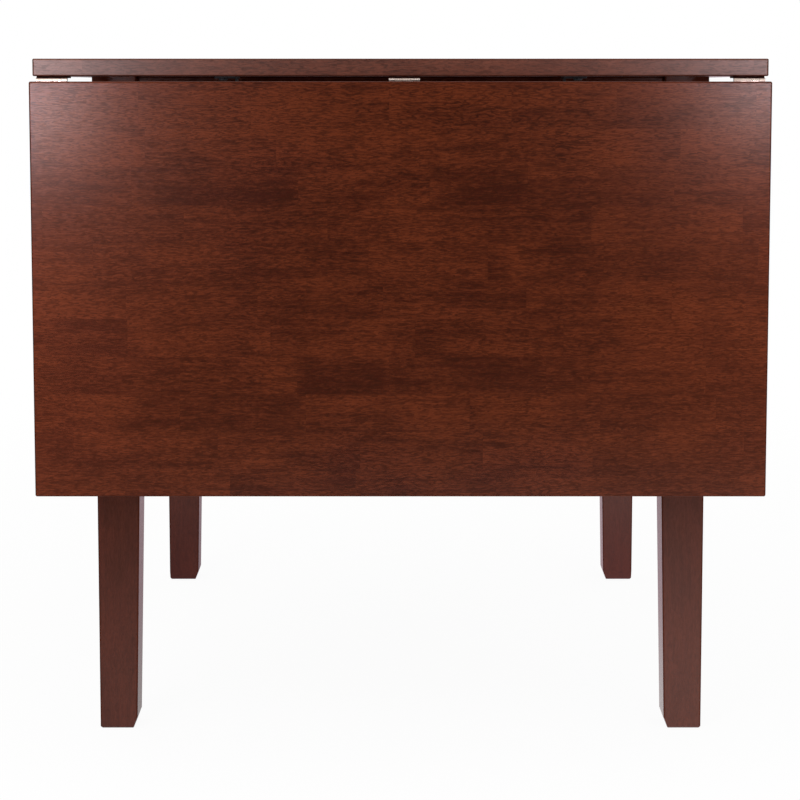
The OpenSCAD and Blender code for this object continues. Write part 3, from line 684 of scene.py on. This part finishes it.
# The camera sees the paper as white, a little less so round the table, where its shadow shows. In
# the polish the paper fades towards the front and to the left, where less light falls on it, and
# it looks dimmer and a little rosy under and behind the table.
paper, tree = empty_material("paper")
own = node(tree, "TexCoord").outputs["Object"]
rays = node(tree, "LightPath").outputs
place = node(tree, "SeparateXYZ", {"Vector": own}).outputs
mirrored = calc(tree, "MAXIMUM", rays["Is Glossy Ray"], rays["Is Transmission Ray"])
near_table = smooth_step(tree, place["Y"], -2.7, -0.4)
to_right = calc(tree, "MULTIPLY_ADD", smooth_step(tree, place["X"], -0.8, 0.5), 0.65, 0.35)
strength = calc(tree, "MAXIMUM", rays["Is Camera Ray"],
                calc(tree, "MULTIPLY", near_table, to_right))
far = node(tree, "VectorMath", {0: own}, operation="LENGTH").outputs["Value"]
plain_white = calc(tree, "MULTIPLY_ADD", smooth_step(tree, far, 1.0, 2.4), 0.05, 0.95)
shown_white = calc(tree, "MAXIMUM", mirrored,
                   calc(tree, "MULTIPLY", rays["Is Camera Ray"], plain_white))
behind = calc(tree, "MULTIPLY", smooth_step(tree, place["Y"], -0.55, 0.35), mirrored)
lit_paper = node(tree, "BsdfDiffuse", {"Color": (0.85, 0.85, 0.85, 1.0)}).outputs[0]
white_paper = node(tree, "Emission", {
    "Color": blend_colours(tree, behind, white, rosy_white), "Strength": strength}).outputs[0]
shown = node(tree, "MixShader", {0: shown_white, 1: lit_paper, 2: white_paper}).outputs[0]
node(tree, "OutputMaterial", {"Surface": shown}, is_active_output=True)
floor_mesh.materials.append(paper)
# The white is only for the camera and the polish, so the paper isn't used as a lamp.
paper.cycles.emission_sampling = "NONE"

# The surround is white to the camera, a soft fill to the wood, and in the polish it is dark in
# front of the table and half as bright behind it.
surround = bpy.data.worlds.new("surround")
bpy.context.scene.world = surround
surround.use_nodes = True
tree = surround.node_tree
tree.nodes.clear()
rays = node(tree, "LightPath").outputs
toward = node(tree, "SeparateXYZ", {
    "Vector": node(tree, "TexCoord").outputs["Generated"]}).outputs["Y"]
half_bright = calc(tree, "MULTIPLY", smooth_step(tree, toward, 0.2, 0.9), 0.5)
fill = node(tree, "Background", {"Color": white, "Strength": 0.55}).outputs[0]
dim = node(tree, "Background", {"Color": white, "Strength": half_bright}).outputs[0]
pale = node(tree, "Background", {"Color": white, "Strength": 1.0}).outputs[0]
mirrored = calc(tree, "MAXIMUM", rays["Is Glossy Ray"], rays["Is Transmission Ray"])
room = node(tree, "MixShader", {0: mirrored, 1: fill, 2: dim}).outputs[0]
room = node(tree, "MixShader", {0: rays["Is Camera Ray"], 1: room, 2: pale}).outputs[0]
node(tree, "OutputWorld", {"Surface": room}, is_active_output=True)
surround.cycles.sampling_method = "NONE"


def softbox(name, centre, aim, wide, high, brightness, colour=(1.0, 1.0, 1.0)):
    """A rectangular lamp that faces a point and isn't seen itself. White paper has brightness 1."""
    lamp = bpy.data.lights.new(name, "AREA")
    lamp.color = colour
    lamp.shape = "RECTANGLE"
    lamp.size = wide
    lamp.size_y = high
    lamp.energy = brightness * math.pi * wide * high
    held = bpy.data.objects.new(name, lamp)
    bpy.context.scene.collection.objects.link(held)
    held.location = centre
    held.rotation_euler = (Vector(aim) - Vector(centre)).to_track_quat("-Z", "Y").to_euler()
    held.visible_camera = False


softbox("strip_left", (-0.750, -1.92, 0.775), (-0.750, 0.0, 0.775), 0.380, 0.306, 10.8,
        rosy_light)
softbox("strip_right", (0.668, -1.92, 0.815), (0.668, 0.0, 0.815), 0.225, 0.290, 9.8,
        rosy_light)
softbox("softbox_left", (-1.15, -2.30, 2.30), (0.0, -0.4, 0.5), 1.00, 1.00, 6.5)
softbox("softbox_right", (1.40, -2.30, 2.30), (0.0, -0.4, 0.5), 1.00, 1.00, 3.6)
softbox("softbox_above", (0.0, 0.3, 4.6), (0.0, 0.3, 0.0), 5.0, 5.0, 1.3)

camera = bpy.data.objects.new("camera", bpy.data.cameras.new("camera"))
bpy.context.scene.collection.objects.link(camera)
camera.location = camera_place
camera.rotation_euler = (math.radians(90.0 - camera_down), 0.0, 0.0)
camera.data.sensor_width = 36.0
camera.data.lens = 95.53
camera.data.shift_x = -0.00169
camera.data.shift_y = -0.14
bpy.context.scene.camera = camera
bpy.context.scene.view_settings.view_transform = "Standard"
